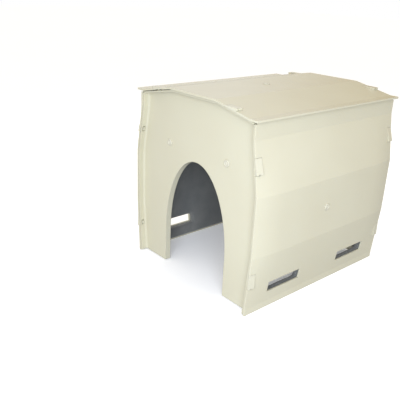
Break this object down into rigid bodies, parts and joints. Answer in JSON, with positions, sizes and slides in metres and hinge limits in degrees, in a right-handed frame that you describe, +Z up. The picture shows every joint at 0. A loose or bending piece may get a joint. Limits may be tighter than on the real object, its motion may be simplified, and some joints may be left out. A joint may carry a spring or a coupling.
{
  "type": "pump motor cover",
  "caption": "Box-shaped snap-together plastic cover with bulging sides, low-pitched roof, arched end opening and ventilation slots; open underneath and lined with foam.",
  "frame": {"origin": "on the ground, in the middle of the cover's length and width", "axes": "+X along the cover, away from the pump; +Y to the right-hand wall; +Z up"},
  "size_m": [0.443, 0.3944, 0.4107],
  "materials": {
    "shell": "gloss",
    "tab": "gloss",
    "foam": "matte",
    "pin": "gloss",
    "washer": "satin"
  },
  "bodies": {
    "walls": {"left_side_panel": "shell", "right_side_panel": "shell", "pump_end_panel": "shell", "rear_end_panel": "shell", "left_side_liner": "foam", "right_side_liner": "foam", "pump_end_liner": "foam", "rear_end_liner": "foam", "left_liner_pin": "pin", "right_liner_pin": "pin", "pump_end_liner_pins": "pin", "rear_end_liner_pins": "pin", "left_liner_washer": "washer", "right_liner_washer": "washer", "pump_end_liner_washers": "washer", "rear_end_liner_washers": "washer"},
    "roof": {"roof_panel": "shell", "roof_liner": "foam", "roof_liner_pin": "pin", "roof_liner_washer": "washer"},
    "right_tab_rear_upper": {"right_tab_rear_upper": "tab"},
    "right_tab_pump_upper": {"right_tab_pump_upper": "tab"},
    "left_tab_rear_upper": {"left_tab_rear_upper": "tab"},
    "left_tab_pump_upper": {"left_tab_pump_upper": "tab"},
    "right_tab_rear_lower": {"right_tab_rear_lower": "tab"},
    "right_tab_pump_lower": {"right_tab_pump_lower": "tab"},
    "left_tab_rear_lower": {"left_tab_rear_lower": "tab"},
    "left_tab_pump_lower": {"left_tab_pump_lower": "tab"},
    "roof_tab_rear_right": {"roof_tab_rear_right": "tab"},
    "roof_tab_pump_right": {"roof_tab_pump_right": "tab"},
    "roof_tab_rear_left": {"roof_tab_rear_left": "tab"},
    "roof_tab_pump_left": {"roof_tab_pump_left": "tab"}
  },
  "joints": [
    {"name": "roof_lift", "type": "slide", "parent": "walls", "child": "roof", "axis": [0, 0, 1], "range_m": [0, 0.1]},
    {"name": "right_tab_rear_upper_flex", "type": "hinge", "parent": "walls", "child": "right_tab_rear_upper", "pos_m": [0.20941, 0.1755, 0.32228], "axis": [0.9968, -0.0781, -0.0143], "range_deg": [0, 10], "stiffness_Nm_per_rad": 4},
    {"name": "right_tab_pump_upper_flex", "type": "hinge", "parent": "walls", "child": "right_tab_pump_upper", "pos_m": [-0.20941, 0.1755, 0.32228], "axis": [0.9968, 0.0781, 0.0143], "range_deg": [0, 10], "stiffness_Nm_per_rad": 4},
    {"name": "left_tab_rear_upper_flex", "type": "hinge", "parent": "walls", "child": "left_tab_rear_upper", "pos_m": [0.20941, -0.1755, 0.32228], "axis": [-0.9968, -0.0781, 0.0143], "range_deg": [0, 10], "stiffness_Nm_per_rad": 4},
    {"name": "left_tab_pump_upper_flex", "type": "hinge", "parent": "walls", "child": "left_tab_pump_upper", "pos_m": [-0.20941, -0.1755, 0.32228], "axis": [-0.9968, 0.0781, -0.0143], "range_deg": [0, 10], "stiffness_Nm_per_rad": 4},
    {"name": "right_tab_rear_lower_flex", "type": "hinge", "parent": "walls", "child": "right_tab_rear_lower", "pos_m": [0.20939, 0.18492, 0.09287], "axis": [0.9952, -0.0977, 0.0095], "range_deg": [0, 10], "stiffness_Nm_per_rad": 4},
    {"name": "right_tab_pump_lower_flex", "type": "hinge", "parent": "walls", "child": "right_tab_pump_lower", "pos_m": [-0.20939, 0.18492, 0.09287], "axis": [0.9952, 0.0977, -0.0095], "range_deg": [0, 10], "stiffness_Nm_per_rad": 4},
    {"name": "left_tab_rear_lower_flex", "type": "hinge", "parent": "walls", "child": "left_tab_rear_lower", "pos_m": [0.20939, -0.18492, 0.09287], "axis": [-0.9952, -0.0977, -0.0095], "range_deg": [0, 10], "stiffness_Nm_per_rad": 4},
    {"name": "left_tab_pump_lower_flex", "type": "hinge", "parent": "walls", "child": "left_tab_pump_lower", "pos_m": [-0.20939, -0.18492, 0.09287], "axis": [-0.9952, 0.0977, 0.0095], "range_deg": [0, 10], "stiffness_Nm_per_rad": 4},
    {"name": "roof_tab_rear_right_flex", "type": "hinge", "parent": "roof", "child": "roof_tab_rear_right", "pos_m": [0.214, 0.09506, 0.40168], "axis": [1, 0, 0], "range_deg": [0, 10], "stiffness_Nm_per_rad": 4},
    {"name": "roof_tab_pump_right_flex", "type": "hinge", "parent": "roof", "child": "roof_tab_pump_right", "pos_m": [-0.214, 0.09506, 0.40168], "axis": [1, 0, 0], "range_deg": [0, 10], "stiffness_Nm_per_rad": 4},
    {"name": "roof_tab_rear_left_flex", "type": "hinge", "parent": "roof", "child": "roof_tab_rear_left", "pos_m": [0.214, -0.09506, 0.40168], "axis": [-1, 0, 0], "range_deg": [0, 10], "stiffness_Nm_per_rad": 4},
    {"name": "roof_tab_pump_left_flex", "type": "hinge", "parent": "roof", "child": "roof_tab_pump_left", "pos_m": [-0.214, -0.09506, 0.40168], "axis": [-1, 0, 0], "range_deg": [0, 10], "stiffness_Nm_per_rad": 4}
  ]
}
